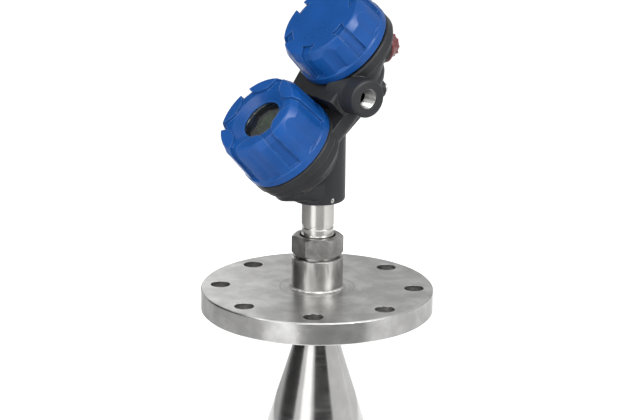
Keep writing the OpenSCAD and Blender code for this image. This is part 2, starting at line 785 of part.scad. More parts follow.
module terminal_screws() color([0.78, 0.78, 0.76]) on_wiring()
    translate([0, block_v - block_d / 4, block_floor]) terminal_places() difference() {
        union() {
            translate([0, 0, 4]) cylinder(r = terminal_hole_r - fit, h = block_h - 8);
            translate([0, 0, block_h - terminal_pocket + clamp_plate_t + 2 * fit])
                cylinder(r = terminal_r, h = 2);
        }
        translate([-3, -terminal_wall / 2, block_h - terminal_pocket + clamp_plate_t + 1])
            cube([6, terminal_wall, 2]);
    }

module block_screws() color([0.78, 0.78, 0.76]) on_wiring() translate([0, block_v + block_d / 4, block_floor])
    for (x = [-1, 1]) translate([x * (block_w / 2 - block_screw_in), 0, fit]) {
        cylinder(r = block_screw_r - fit, h = block_h);
        translate([0, 0, block_h]) cylinder(r = block_head_r, h = block_head_h);
    }

module inner_ground_screw() color([0.75, 0.75, 0.72]) on_wiring()
    translate([inner_ground_x, inner_ground_v, block_floor + fit]) {
        cylinder(r = washer_r, h = washer_t);
        translate([0, 0, washer_t]) cylinder(r = washer_r - 1, h = 2.2);
    }

module feedthrough() color([0.1, 0.1, 0.1]) on_display() translate([feed_x, feed_v, feed_s + 3])
    cylinder(r = feed_r - fit, h = feed_h);

// ---- Covers ----

module cover_core(depth) rotate_extrude() polygon([
    [0, 0], [rim_r - edge, 0], [rim_r, edge], [rim_r - land, band_h - edge], [rim_r - edge, band_h],
    [side_r(band_h) - lobe_h, band_h + 1.2],
    [side_r(depth - bevel_h) - lobe_h, depth - bevel_h - 1],
    [side_r(depth - bevel_h) - lobe_h - bevel_w, depth - lobe_h - edge],
    [side_r(depth - bevel_h) - lobe_h - bevel_w - edge, depth - lobe_h], [0, depth - lobe_h]
]);

module lobe_envelope(depth) rotate_extrude() polygon([
    [dish_r - dish_inside, band_h], [side_r(band_h), band_h], [side_r(depth - bevel_h), depth - bevel_h],
    [side_r(depth - bevel_h) - bevel_w, depth - edge],
    [side_r(depth - bevel_h) - bevel_w - edge, depth], [dish_r - dish_inside, depth]
]);

// Round grip lobes, each with a shallow scallop down its middle
module lobes(depth, phase) difference() {
    intersection() {
        lobe_envelope(depth);
        around(lobe_n, lobe_pcr, phase) cylinder(r = lobe_r, h = depth + 1);
    }
    around(lobe_n, side_r(depth / 2) + scallop_r - scallop_cut, phase)
        rotate([0, -draft, 0]) translate([0, 0, -depth]) cylinder(r = scallop_r, h = 2 * depth);
}

module cover_inside(depth) rotate_extrude() polygon([
    [0, -1], [rim_counter_r, -1], [rim_counter_r, rim_counter_h], [cover_bore_r, rim_counter_h],
    [cover_bore_r, cover_bore_h], [cover_bay_r, cover_bore_h + 1],
    [cover_bay_r, depth - cover_roof - roof_slope],
    [cover_bay_r - roof_slope, depth - cover_roof], [0, depth - cover_roof]
]);

module cover_seal() translate([0, 0, rim_counter_h - run - (ring_wire - run) / 2])
    o_ring((thread_r + rim_counter_r + ring_squeeze) / 2, ring_wire - run);

module display_cover() color([0.12, 0.3, 0.68]) on_display() difference() {
    union() {
        difference() {
            union() {
                cover_core(display_cover_h);
                lobes(display_cover_h, display_phase);
            }
            cover_inside(display_cover_h);
        }
        translate([0, 0, window_boss_s])
            cylinder(r = window_boss_r, h = display_cover_h - window_boss_s - lobe_h);
    }
    // Dished ring, window opening, glass seat and retainer thread
    translate([0, 0, display_cover_h - dish_depth])
        cylinder(r1 = window_r + dish_slope, r2 = dish_r, h = dish_depth - lobe_h);
    translate([0, 0, display_cover_h - lobe_h]) cylinder(r = dish_r, h = lobe_h + 1);
    cylinder(r = window_r, h = display_cover_h);
    cylinder(r = glass_r + fit, h = lip_s);
    cylinder(r = retainer_r + fit, h = glass_s);
}

module cover_window() color([0.2, 0.25, 0.22, 0.5]) on_display()
    translate([0, 0, glass_s + fit]) cylinder(r = glass_r, h = window_t - 2 * fit);

module window_gasket() color([0.08, 0.08, 0.08]) on_display()
    translate([0, 0, glass_top]) ring(glass_r, window_r + land, gasket_t - fit);

module window_retainer() color([0.2, 0.2, 0.22]) on_display() difference() {
    translate([0, 0, glass_s - retainer_t]) ring(retainer_r, window_r, retainer_t);
    around(4, notch_pcr) translate([0, 0, glass_s - retainer_t - 1]) cylinder(r = 1, h = 3);
}

module display_cover_seal() color([0.1, 0.1, 0.1]) on_display() cover_seal();

module wiring_cover() color([0.12, 0.3, 0.68]) on_wiring() difference() {
    union() {
        cover_core(wiring_cover_h);
        lobes(wiring_cover_h, wiring_phase);
        translate([0, 0, wiring_cover_h - lobe_h - 1]) cylinder(r = dish_r + 3, h = lobe_h + 1);
    }
    cover_inside(wiring_cover_h);
}

module wiring_cover_seal() color([0.1, 0.1, 0.1]) on_wiring() cover_seal();

// ---- Shipping plug in the rear entry ----

module conduit_plug() color([0.62, 0.12, 0.1])
    translate([0, rear_reach + plug_seal_t + 2 * plug_gap, head_z + rear_up]) to_rear() union() {
        rotate_extrude() polygon([
            [0, 0], [plug_d / 2 - 0.5, 0], [plug_d / 2, 0.5], [plug_d / 2, plug_rim_h],
            [plug_d / 2 - plug_edge, plug_rim_h + 1], [plug_nose_r + plug_edge, plug_h - 1],
            [plug_nose_r, plug_h], [0, plug_h]
        ]);
        around(rib_n, plug_nose_r + rib_r) translate([0, 0, rib_foot])
            cylinder(r = rib_r, h = plug_h - rib_foot - rib_r, $fn = 24);
        translate([0, 0, -plug_shank_h]) cylinder(r = entry_r - run, h = plug_shank_h + 1);
    }

module plug_seal() color([0.12, 0.12, 0.12]) translate([0, rear_reach + plug_gap, head_z + rear_up])
    to_rear() ring(rear_boss_r - plug_edge, entry_r + 2 * land, plug_seal_t);

flange();
horn();
dielectric_cone();
process_hub();
hub_weld();
neck_adapter();
process_seal();
neck_seal();
waveguide_tube();
slip_ring();
coupling_nut();
housing();
neck_lock_screw();
cover_lock_screws();
rf_module();
ground_screw();
ground_clamp();
module_cup();
power_board();
processor_board();
board_spacers();
display_bezel();
display_board();
display_glass();
display_screws();
key_back();
key_down();
key_up();
key_enter();
terminal_block();
terminal_clamps();
terminal_screws();
block_screws();
inner_ground_screw();
feedthrough();
display_cover();
display_cover_seal();
cover_window();
window_gasket();
window_retainer();
wiring_cover();
wiring_cover_seal();
conduit_plug();
plug_seal();
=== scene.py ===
# %% [markdown]
# # Radar level transmitter
# This instrument bolts to a nozzle on top of a tank. A horn below the flange
# sends microwaves down to the liquid, and a metal head above it turns the echo
# into a level. Every solid already exists as a fixed CAD frame, so this lesson
# is about dressing it: finishes, threads, a display, light and a camera.
# The frame comes first, because every position below is measured from it.

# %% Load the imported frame
import json
import math

import bmesh
import bpy
from mathutils import Matrix, Vector


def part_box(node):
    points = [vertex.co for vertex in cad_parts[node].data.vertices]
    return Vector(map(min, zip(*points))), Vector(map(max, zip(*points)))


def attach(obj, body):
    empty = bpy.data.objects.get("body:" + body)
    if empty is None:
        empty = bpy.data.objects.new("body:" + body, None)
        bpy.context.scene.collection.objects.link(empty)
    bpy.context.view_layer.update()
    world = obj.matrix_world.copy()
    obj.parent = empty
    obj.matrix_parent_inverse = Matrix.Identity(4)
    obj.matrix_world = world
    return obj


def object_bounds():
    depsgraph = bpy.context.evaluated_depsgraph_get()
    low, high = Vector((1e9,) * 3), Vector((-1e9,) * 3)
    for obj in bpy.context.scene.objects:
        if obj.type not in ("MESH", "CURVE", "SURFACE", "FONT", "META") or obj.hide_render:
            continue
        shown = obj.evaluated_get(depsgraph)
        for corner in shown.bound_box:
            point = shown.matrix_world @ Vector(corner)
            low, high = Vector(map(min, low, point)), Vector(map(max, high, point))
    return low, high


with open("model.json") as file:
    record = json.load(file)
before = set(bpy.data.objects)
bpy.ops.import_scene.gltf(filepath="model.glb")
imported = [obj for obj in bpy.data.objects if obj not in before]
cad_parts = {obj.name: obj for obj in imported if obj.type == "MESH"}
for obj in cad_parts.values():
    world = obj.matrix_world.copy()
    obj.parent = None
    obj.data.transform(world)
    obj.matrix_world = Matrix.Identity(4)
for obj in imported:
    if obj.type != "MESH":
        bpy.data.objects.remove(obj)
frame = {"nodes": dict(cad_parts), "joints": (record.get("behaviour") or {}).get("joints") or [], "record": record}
cad_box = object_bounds()
nodes = frame["nodes"]
joints = {joint["name"]: joint for joint in frame["joints"]}
mounts = {mount["name"]: mount for mount in frame["record"]["mounts"]}
print("nodes:", len(nodes), "lowest point:", round(cad_box[0].z, 4))

# %% [markdown]
# The two compartments are tilted 45 degrees. Their covers unscrew about joints
# in the frame, so each joint's position and axis give the compartment a place
# and a direction. A matrix built from them lets a piece be modelled upright at
# the origin and then be moved into the tilted compartment in its mesh. The
# cable entry on the head's side gets such a place too, at its open mouth.

# %% Places of the tilted compartments and the side entry
def along(axis, origin):
    """Matrix that turns +Z to the axis, keeps X level, and moves to the origin."""
    z = Vector(axis).normalized()
    level = Vector((1, 0, 0)) if abs(z.x) < 0.9 else Vector((0, 1, 0))
    y = z.cross(level).normalized()
    x = y.cross(z)
    return Matrix.Translation(origin) @ Matrix((x, y, z)).transposed().to_4x4()


def lid_place(joint):
    """The place of a screw cover, from the joint that it unscrews about."""
    return along(joint["axis"], joint["pos_m"])


display_place = lid_place(joints["display_lid_turn"])
wiring_place = lid_place(joints["wiring_lid_turn"])
entry = mounts["side_entry"]
entry_mouth = (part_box("housing")[1].x, entry["pos_m"][1], entry["pos_m"][2])
entry_place = along(entry["axis"], entry_mouth)
print("display compartment at", joints["display_lid_turn"]["pos_m"])

# %% [markdown]
# Finishes are node materials, and most of their work is arithmetic on masks.
# Wiring Math nodes by hand is slow to read, so one small class wraps a socket
# and lets Python's own operators add the nodes. `1 - mask` then works as it
# would on paper.

# %% Shader numbers as Python values
class Value:
    """A number socket that adds Math nodes when it is used in an expression."""

    def __init__(self, finish, socket):
        self.finish, self.socket = finish, socket

    def __add__(self, other):
        return self.finish.math("ADD", self, other)

    def __sub__(self, other):
        return self.finish.math("SUBTRACT", self, other)

    def __rsub__(self, other):
        return self.finish.math("SUBTRACT", other, self)

    def __mul__(self, other):
        return self.finish.math("MULTIPLY", self, other)

    def __truediv__(self, other):
        return self.finish.math("DIVIDE", self, other)

    def __pow__(self, other):
        return self.finish.math("POWER", self, other)

    def __abs__(self):
        return self.finish.math("ABSOLUTE", self)

    __radd__ = __add__

    def step(self, low, high):
        """0 below low, 1 above high, and a smooth climb between them."""
        ramp = self.finish.node(
            "ShaderNodeMapRange", {"interpolation_type": "SMOOTHSTEP"},
            Value=self, From_Min=low, From_Max=high, To_Min=0.0, To_Max=1.0)
        return Value(self.finish, ramp.outputs[0])


print("made the class", Value.__name__)

# %% [markdown]
# A finish is one material, and its noises, masks and reliefs are read in the
# piece's own Object coordinates, so they stay on the metal when a joint moves.
# A second class keeps the node tree, and each kind of node gets a short method
# with the settings that this part needs. Colours go through a Mix node, since
# Math nodes drop colour.

# %% A finish and its nodes
class Finish:
    """One node material with a Principled shader, whose fixed numbers sit on the sockets."""

    def __init__(self, name, **fixed):
        self.material = bpy.data.materials.new(name)
        self.material.use_nodes = True
        self.tree = self.material.node_tree
        self.shader = self.tree.nodes["Principled BSDF"]
        self.set(**fixed)
        self.point = self.node("ShaderNodeTexCoord").outputs["Object"]

    def plug(self, socket, value):
        """Links a socket to another socket or a Value, or gives it a fixed number."""
        if isinstance(value, Value):
            value = value.socket
        if isinstance(value, bpy.types.NodeSocket):
            self.tree.links.new(value, socket)
        else:
            socket.default_value = value

    def set(self, **sockets):
        """Plugs values into the shader's own sockets."""
        for name, value in sockets.items():
            self.plug(self.shader.inputs[name.replace("_", " ")], value)

    def node(self, kind, settings=None, **sockets):
        """Adds a node: its settings come first, then the values or links of its sockets."""
        made = self.tree.nodes.new(kind)
        for name, value in (settings or {}).items():
            setattr(made, name, value)
        for name, value in sockets.items():
            self.plug(made.inputs[name.replace("_", " ")], value)
        return made

    def math(self, operation, *values):
        """Adds a Math node and gives its result as a Value."""
        made = self.node("ShaderNodeMath", {"operation": operation})
        for socket, value in zip(made.inputs, values):
            self.plug(socket, value)
        return Value(self, made.outputs[0])

    def split(self, vector):
        """The three numbers of a vector."""
        made = self.node("ShaderNodeSeparateXYZ", Vector=vector)
        return [Value(self, socket) for socket in made.outputs]

    def join(self, x, y, z):
        """A vector from three numbers."""
        return self.node("ShaderNodeCombineXYZ", X=x, Y=y, Z=z).outputs[0]

    def noise(self, scale, vector=None, detail=2.0, rough=0.5):
        """Soft noise from 0 to 1. A larger scale makes it finer."""
        made = self.node("ShaderNodeTexNoise", Vector=vector or self.point,
                         Scale=scale, Detail=detail, Roughness=rough)
        return Value(self, made.outputs[0])

    def mix(self, factor, first, second):
        """Mixes two colours. A Mix node tells its colour sockets apart by number only."""
        made = self.node("ShaderNodeMix", {"data_type": "RGBA"})
        for number, value in ((0, factor), (6, first), (7, second)):
            self.plug(made.inputs[number], value)
        return made.outputs[2]

    def edges(self, radius):
        """Normal of the surface with its sharp edges rounded over."""
        return self.node("ShaderNodeBevel", {"samples": 6}, Radius=radius).outputs[0]

    def relief(self, height, distance, normal=None):
        """Bumps the surface, on top of another normal where one is given."""
        bump = self.node("ShaderNodeBump", Strength=1.0, Distance=distance, Height=height)
        if normal is not None:
            self.plug(bump.inputs["Normal"], normal)
        self.set(Normal=bump.outputs[0])


def rgb(red, green, blue):
    """A colour as a socket takes it, with nothing let through."""
    return (red, green, blue, 1.0)


def scaled(tone, share):
    """A tone made darker or lighter, as a colour no brighter than white."""
    return rgb(*[min(1.0, channel * share) for channel in tone])


print("made the class", Finish.__name__, "and the tones", rgb(0, 0, 0), scaled((1, 1, 1), 0.5))

# %% [markdown]
# Nearly all the steel here was turned on a lathe, so its fine tool lines run in
# circles about the vertical axis. An image of scratches would stretch on the
# horn's cone. So the lines come from a noise that is read in polar coordinates:
# very tight along the radius and height, and very slow round the circle. The
# same noise moves the roughness and a tiny relief, so that a highlight spreads
# across the lines as it does on real turned metal.

# %% Turned stainless steel
def turned_steel(name, tone, rough, line, depth, stain, edge=0.0005):
    """Lathe-turned steel. It remembers its polar coordinates, tone and roughness."""
    finish = Finish(name, Metallic=1.0)
    x, y, z = finish.split(finish.point)
    finish.radius = (x * x + y * y) ** 0.5
    finish.angle = finish.math("ARCTAN2", y, x)
    band = line * 0.12
    lines = finish.noise(1.0, finish.join(finish.radius * line, finish.angle * 2.5, z * line), 3.0, 0.6)
    bands = finish.noise(1.0, finish.join(finish.radius * band, finish.angle * 1.2, z * band), 2.0)
    cloud = finish.noise(38.0, detail=5.0, rough=0.62)
    spots = finish.noise(260.0, detail=2.0).step(0.66, 0.78)
    blotched = finish.mix(cloud.step(0.35, 0.7), scaled(tone, 1 - 2.2 * stain), rgb(*tone))
    finish.tone = finish.mix(spots * 0.25, blotched, scaled(tone, 0.55))
    finish.roughness = rough + lines * 0.16 + bands * 0.1 + cloud * 0.08 - 0.14
    finish.set(Base_Color=finish.tone, Roughness=finish.roughness)
    finish.relief(lines + bands * 1.5, depth, finish.edges(edge))
    return finish


flange_steel = turned_steel("turned_flange_steel", (0.585, 0.582, 0.574), 0.32,
                            line=1500.0, depth=0.00005, stain=0.14, edge=0.0006)
neck_steel = turned_steel("turned_neck_steel", (0.66, 0.65, 0.62), 0.2,
                          line=2600.0, depth=0.00001, stain=0.06)
hub_steel = turned_steel("turned_hub_steel", (0.46, 0.455, 0.44), 0.2,
                         line=2000.0, depth=0.00002, stain=0.12)
horn_steel = turned_steel("polished_horn_steel", (0.6, 0.595, 0.585), 0.14,
                          line=3000.0, depth=0.000006, stain=0.05)
for finish in (flange_steel, neck_steel, hub_steel, horn_steel):
    print("turned steel:", finish.material.name)

# %% [markdown]
# The flange wears more than one surface. Two rings near the hub are darker in
# tone, the outer rim was turned with a finer feed, and the eight bolt holes were
# drilled, which leaves a smoother wall. Cutting the mesh into regions would do
# it, but the CAD mesh stays as it is. So masks made from the same polar
# coordinates pick out each region.

# %% Rings, rim and bolt holes of the flange
FIRST_HOLE = math.radians(9)
HOLE_BAND, RIM_BAND, FADE = 0.00025, 0.0007, 0.0003
DARKER_RINGS = ((0.0365, 0.0016, 1.0), (0.033, 0.0012, 0.6))
DARKER_RING_TONE = rgb(0.26, 0.255, 0.245)


def ring_mask(radius, middle, width):
    """1 on the middle of a ring round the axis, and 0 a width away from it."""
    return 1 - (abs(radius - middle) / width).step(0.2, 1.0)


def hole_mask(finish, circle, hole_radius, count):
    """1 on the walls of holes that stand evenly on a circle, and 0 away from them."""
    half_step = math.pi / count
    from_hole = finish.math("WRAP", finish.angle - FIRST_HOLE, half_step, -half_step)
    to_axis = ((finish.radius - circle) ** 2.0 + (from_hole * finish.radius) ** 2.0) ** 0.5
    return 1 - to_axis.step(hole_radius + HOLE_BAND, hole_radius + HOLE_BAND + FADE)


def mark_flange(finish, rim_radius, bolts):
    """Gives the flange's finish two darker rings, a fine rim and drilled holes."""
    drilled = hole_mask(finish, bolts["pcd_mm"] / 2000, bolts["hole_r_mm"] / 1000, bolts["count"])
    rim = finish.radius.step(rim_radius - RIM_BAND, rim_radius - RIM_BAND + FADE)
    # Two rings near the hub are given a darker tone.
    ring_darkening = sum(ring_mask(finish.radius, middle, width) * strength
                 for middle, width, strength in DARKER_RINGS)
    finish.set(Base_Color=finish.mix(ring_darkening * 0.45, finish.tone, DARKER_RING_TONE),
               Roughness=finish.roughness * (1 - drilled * 0.3) * (1 - rim * 0.4))


mark_flange(flange_steel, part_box("flange")[1].x, mounts["flange_bolts"]["dims"])
print("bolt pattern:", mounts["flange_bolts"]["dims"])

# %% [markdown]
# The union nut is turned too, but spanners have touched its flats, so it is
# cloudier than the rest and lightly scratched. The weld bead at the foot of the
# hub is a row of frozen ripples. A sine wave that runs round the circle makes
# them, and a little noise keeps them from looking machined.

# %% Nut and weld finishes
def spanner_worn_steel():
    """Turned steel that spanners have clouded and scratched."""
    finish = Finish("nut_steel", Metallic=1.0)
    cloud = finish.noise(90.0, detail=6.0, rough=0.7)
    flattened = finish.node("ShaderNodeMapping", Vector=finish.point, Scale=(1.0, 1.0, 9.0))
    scratch = finish.noise(420.0, flattened.outputs[0], 3.0)
    finish.set(
        Base_Color=finish.mix(cloud.step(0.35, 0.72), rgb(0.2, 0.197, 0.19), rgb(0.35, 0.346, 0.335)),
        Roughness=0.24 + cloud * 0.22 + scratch * 0.08)
    finish.relief(scratch + cloud, 0.00006, finish.edges(0.0006))
    return finish


def rippled_weld(ripples=90.0):
    """Weld metal that froze in even ripples round the axis."""
    finish = Finish("weld_metal", Metallic=1.0)
    x, y = finish.split(finish.point)[:2]
    wave = finish.math("SINE", finish.math("ARCTAN2", y, x) * ripples + finish.noise(60.0) * 6.0)
    grain = finish.noise(300.0).step(0.4, 0.7)
    finish.set(Base_Color=finish.mix(grain, rgb(0.34, 0.33, 0.32), rgb(0.55, 0.54, 0.52)),
               Roughness=0.3 + finish.noise(500.0) * 0.15)
    finish.relief(wave, 0.00012)
    return finish


nut_steel = spanner_worn_steel()
weld_metal = rippled_weld()
print("nut and weld finishes:", nut_steel.material.name, weld_metal.material.name)

# %% [markdown]
# Both painted metals are powder coats: paint baked from powder, which keeps a
# fine orange-peel skin and rounds every edge. The dark casting is duller and
# coarser than the covers. The edges of both are painted a little paler, partly as
# scuffed wear and partly as a painted sheen where edges catch the light. A rounded
# normal is compared with the true one to find those edges, so that no edge has
# to be marked by hand.

# %% Powder coats
def powder_coat(name, tone, wear_and_sheen_tone, gloss, rough, peel, depth, edge):
    """Baked paint: the edge tone gives paler edges, part wear and part painted sheen; peel is the fineness of its
    skin.
    """
    finish = Finish(name, IOR=1.5, Specular_IOR_Level=gloss)
    rounded = finish.edges(edge)
    true = finish.node("ShaderNodeNewGeometry").outputs["Normal"]
    match = finish.node("ShaderNodeVectorMath", {"operation": "DOT_PRODUCT"})
    finish.plug(match.inputs[0], rounded)
    finish.plug(match.inputs[1], true)
    bent = (1 - Value(finish, match.outputs["Value"])).step(0.02, 0.2)
    # Paler edges: partly scuffed wear, partly a painted sheen where edges catch the light.
    wear_and_sheen = bent * finish.noise(120.0).step(0.3, 0.65)
    skin = finish.noise(peel, detail=2.0)
    cloud = finish.noise(24.0, detail=4.0)
    colour = finish.mix(cloud.step(0.3, 0.7), scaled(tone, 0.9), scaled(tone, 1.1))
    finish.set(Base_Color=finish.mix(wear_and_sheen * 0.55, colour, rgb(*wear_and_sheen_tone)),
               Roughness=rough + skin * 0.1 + cloud * 0.08)
    finish.relief(skin, depth, rounded)
    return finish


# Each coat's paler edge tone stands for wear and for a painted sheen.
casting_coat = powder_coat(
    "dark_casting_coat", tone=(0.016, 0.0165, 0.0185), wear_and_sheen_tone=(0.19, 0.19, 0.2),
    gloss=0.22, rough=0.32, peel=800.0, depth=0.00009, edge=0.0013)
cover_coat = powder_coat(
    "blue_cover_coat", tone=(0.004, 0.046, 0.185), wear_and_sheen_tone=(0.05, 0.17, 0.42),
    gloss=0.22, rough=0.2, peel=900.0, depth=0.00002, edge=0.002)
print("powder coats:", casting_coat.material.name, cover_coat.material.name)

# %% [markdown]
# The remaining finishes are small: moulded plastics with a faint skin, rubber,
# brass, plated screws, the circuit boards' green lacquer and the milky antenna
# cone. They differ only in tone, grain and roughness, so one function makes
# them all.

# %% Moulded and machined small finishes
def plain_finish(name, tone, rough, grain=900.0, depth=0.00002, **fixed):
    """A nearly even tone with a fine grain that dulls it and lifts it a little."""
    finish = Finish(name, **fixed)
    skin = finish.noise(grain, detail=2.0)
    cloud = finish.noise(70.0, detail=3.0)
    finish.set(Base_Color=finish.mix(cloud, scaled(tone, 0.82), scaled(tone, 1.15)),
               Roughness=rough + skin * 0.12)
    finish.relief(skin, depth, finish.edges(0.0003))
    return finish


black_plastic = plain_finish("black_moulding", (0.02, 0.02, 0.022), 0.38)
key_plastic = plain_finish("key_moulding", (0.09, 0.092, 0.1), 0.34)
rubber = plain_finish("seal_rubber", (0.012, 0.012, 0.012), 0.6, grain=500.0)
brass = plain_finish("plain_brass", (0.62, 0.42, 0.16), 0.26, grain=700.0, Metallic=1.0)
plated = plain_finish("plated_screw", (0.6, 0.6, 0.58), 0.26, grain=700.0, Metallic=1.0)
fluoro = plain_finish("white_cone_plastic", (0.78, 0.78, 0.75), 0.42, grain=300.0,
                      Subsurface_Weight=0.1)
lacquer = plain_finish("board_lacquer", (0.012, 0.1, 0.035), 0.26, grain=1200.0)
plug_red = plain_finish("red_plug_moulding", (0.1, 0.01, 0.012), 0.3, grain=260.0,
                        depth=0.00006, Coat_Weight=0.2)
print("materials so far:", len(bpy.data.materials))

# %% [markdown]
# The cover's window is real glass, so light goes through it and the display
# shows behind. A clear shader alone looks empty. A faint smear in the tone and
# in the relief, as a cloth leaves it, makes the pane visible.

# %% Window glass
def window_glass():
    """Slightly green glass with a faint smear."""
    finish = Finish("window_glass", Transmission_Weight=1.0, IOR=1.5, Roughness=0.03)
    smear = finish.noise(60.0, detail=4.0)
    finish.set(Base_Color=finish.mix(smear, rgb(0.8, 0.86, 0.82), rgb(0.9, 0.94, 0.9)))
    finish.relief(smear, 0.00001)
    return finish


glass = window_glass()
print("window finish:", glass.material.name)

# %% [markdown]
# Each CAD node now takes its finish. The nodes keep their meshes and places:
# only the material slot changes. A table from finish to nodes says in one look
# what the instrument is made of.

# %% Dress the CAD nodes
def dress(name, finish):
    """Gives a CAD node one finish in place of the frame's own material."""
    nodes[name].data.materials.clear()
    nodes[name].data.materials.append(finish.material)


wears = {
    flange_steel: ["flange"],
    neck_steel: ["neck_adapter"],
    hub_steel: ["process_hub"],
    horn_steel: ["horn"],
    nut_steel: ["coupling_nut"],
    weld_metal: ["hub_weld"],
    casting_coat: ["housing"],
    cover_coat: ["display_cover", "wiring_cover"],
    black_plastic: ["module_cup", "display_bezel", "terminal_block", "feedthrough", "window_retainer"],
    key_plastic: ["key_back", "key_down", "key_up", "key_enter"],
    rubber: ["process_seal", "neck_seal", "display_cover_seal", "wiring_cover_seal",
             "window_gasket", "plug_seal"],
    brass: ["waveguide_tube", "slip_ring", "rf_module", "board_spacers"],
    plated: ["neck_lock_screw", "cover_lock_screws", "ground_screw", "ground_clamp", "display_screws",
             "terminal_clamps", "terminal_screws", "block_screws", "inner_ground_screw"],
    lacquer: ["power_board", "processor_board", "display_board"],
    fluoro: ["dielectric_cone"],
    plug_red: ["conduit_plug"],
    glass: ["cover_window"],
}
for finish, names in wears.items():
    for name in names:
        dress(name, finish)
print("nodes dressed:", sum(len(names) for names in wears.values()))

# %% [markdown]
# The liquid crystal display has a dark green-grey film. It sits deep in the
# cover, where hardly any light reaches it, so it is given a faint painted glow
# that stands in for that light. Its tone feeds both the colour and the glow.

# %% Display film
def film_with_painted_glow():
    """Dark green film with a painted glow; its one tone feeds both its colour and the glow."""
    # The emission is a painted glow that stands in for light that hardly reaches the film.
    finish = Finish("display_film", Coat_Weight=0.5, Emission_Strength=0.25)
    cloud = finish.noise(90.0, detail=3.0)
    tone = finish.mix(cloud, rgb(0.016, 0.034, 0.018), rgb(0.03, 0.055, 0.026))
    finish.set(Base_Color=tone, Emission_Color=tone, Roughness=0.25 + finish.noise(1500.0) * 0.1)
    return finish


dress("display_glass", film_with_painted_glow())
print("display film on:", nodes["display_glass"].name)

# %% [markdown]
# New pieces all pass through one function. It recalculates the normals, shades
# the faces smoothly with sharp edges kept, moves the mesh into its place, and
# parents it to the body that it rides on.

# %% Make a piece from a bmesh
SHARP_EDGE = math.radians(35.0)


def new_object(name, shape, finish):
    """Turns a bmesh into an object at the origin that wears one finish."""
    mesh = bpy.data.meshes.new(name)
    shape.to_mesh(mesh)
    shape.free()
    mesh.materials.append(finish.material)
    made = bpy.data.objects.new(name, mesh)
    bpy.context.scene.collection.objects.link(made)
    return made


def make_piece(name, shape, place, body, finish):
    """Moves a shape into its place and lets it ride on a body."""
    bmesh.ops.remove_doubles(shape, verts=shape.verts, dist=1e-7)
    bmesh.ops.recalc_face_normals(shape, faces=shape.faces)
    for face in shape.faces:
        face.smooth = True
    for edge in shape.edges:
        edge.smooth = edge.calc_face_angle(0.0) < SHARP_EDGE
    bmesh.ops.transform(shape, matrix=place, verts=shape.verts)
    piece = new_object(name, shape, finish)
    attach(piece, body)
    print(name, "faces:", len(piece.data.polygons))


# %% [markdown]
# A screw thread is one small triangle swept along a helix. The spin operator
# does that when it is also given a step along the axis. The ridges are shallow,
# because the solids leave only a running clearance for them. They show when a
# cover or the union nut is unscrewed, and always in the open side entry.

# %% Screw threads
HALF_FOOT_SHARE = 0.36
ROOT_SINK = 0.00005


def thread(radius, crest, low, high, pitch, steps=72):
    """A ridge that climbs from low to high, with its root sunk a little into its wall."""
    shape = bmesh.new()
    half = pitch * HALF_FOOT_SHARE
    root = radius - math.copysign(ROOT_SINK, crest - radius)
    profile = ((root, 0, low - half), (crest, 0, low), (root, 0, low + half))
    corners = [shape.verts.new(point) for point in profile]
    edges = [shape.edges.new((corners[i], corners[(i + 1) % 3])) for i in range(3)]
    shape.faces.new(corners)
    count = int(steps * (high - low) / pitch)
    swept = bmesh.ops.spin(
        shape, geom=corners + edges, cent=(0, 0, 0), axis=(0, 0, 1), steps=count,
        angle=2 * math.pi * count / steps, dvec=(0, 0, (high - low) / count), use_merge=False)
    tip = [item for item in swept["geom_last"] if isinstance(item, bmesh.types.BMVert)]
    bmesh.ops.contextual_create(shape, geom=tip)
    return shape


RIDGE = 0.00024
COVER_PITCH, MOUTH_RADIUS, MOUTH_LOW, MOUTH_HIGH = 0.002, 0.0415, 0.0012, 0.0078
for name, place in (("display_mouth_thread", display_place), ("wiring_mouth_thread", wiring_place)):
    make_piece(name, thread(MOUTH_RADIUS, MOUTH_RADIUS + RIDGE, MOUTH_LOW, MOUTH_HIGH, COVER_PITCH),
               place, "head", casting_coat)

NUT_PITCH, HUB_RADIUS, HUB_LOW, HUB_HIGH = 0.002, 0.0204, 0.06, 0.0648
make_piece("hub_thread", thread(HUB_RADIUS, HUB_RADIUS + RIDGE, HUB_LOW, HUB_HIGH, NUT_PITCH),
           Matrix.Identity(4), "antenna", hub_steel)

ENTRY_PITCH, ENTRY_DEPTH, ENTRY_LEAD, ENTRY_RIDGE = 0.0018, 0.02, 0.0012, 0.0008
entry_radius = entry["dims"]["r_mm"] / 1000
entry_steel = plain_finish("cut_entry_metal", (0.42, 0.42, 0.41), 0.24, grain=900.0, Metallic=1.0)
make_piece("side_entry_thread",
           thread(entry_radius, entry_radius - ENTRY_RIDGE, -ENTRY_DEPTH, -ENTRY_LEAD, ENTRY_PITCH, 48),
           entry_place, "head", entry_steel)

# %% [markdown]
# The display module is held by a thin sheet-metal frame. It could be cut from a
# plate with a Boolean, but one face that is inset, emptied and given a thickness
# keeps its corners square and makes no stray edges. It takes its place from the
# glass itself, whose box is measured in the tilted compartment's own directions.

# %% Frame of the display
turned_back = display_place.inverted()
glass_points = [turned_back @ vertex.co for vertex in nodes["display_glass"].data.vertices]
glass_low = Vector([min(point[i] for point in glass_points) for i in range(3)])
glass_high = Vector([max(point[i] for point in glass_points) for i in range(3)])
glass_size = glass_high - glass_low
glass_middle = (glass_low + glass_high) / 2
FRAME_THICK, FRAME_WIDE, FRAME_LIFT = 0.0004, 0.0011, 0.00005


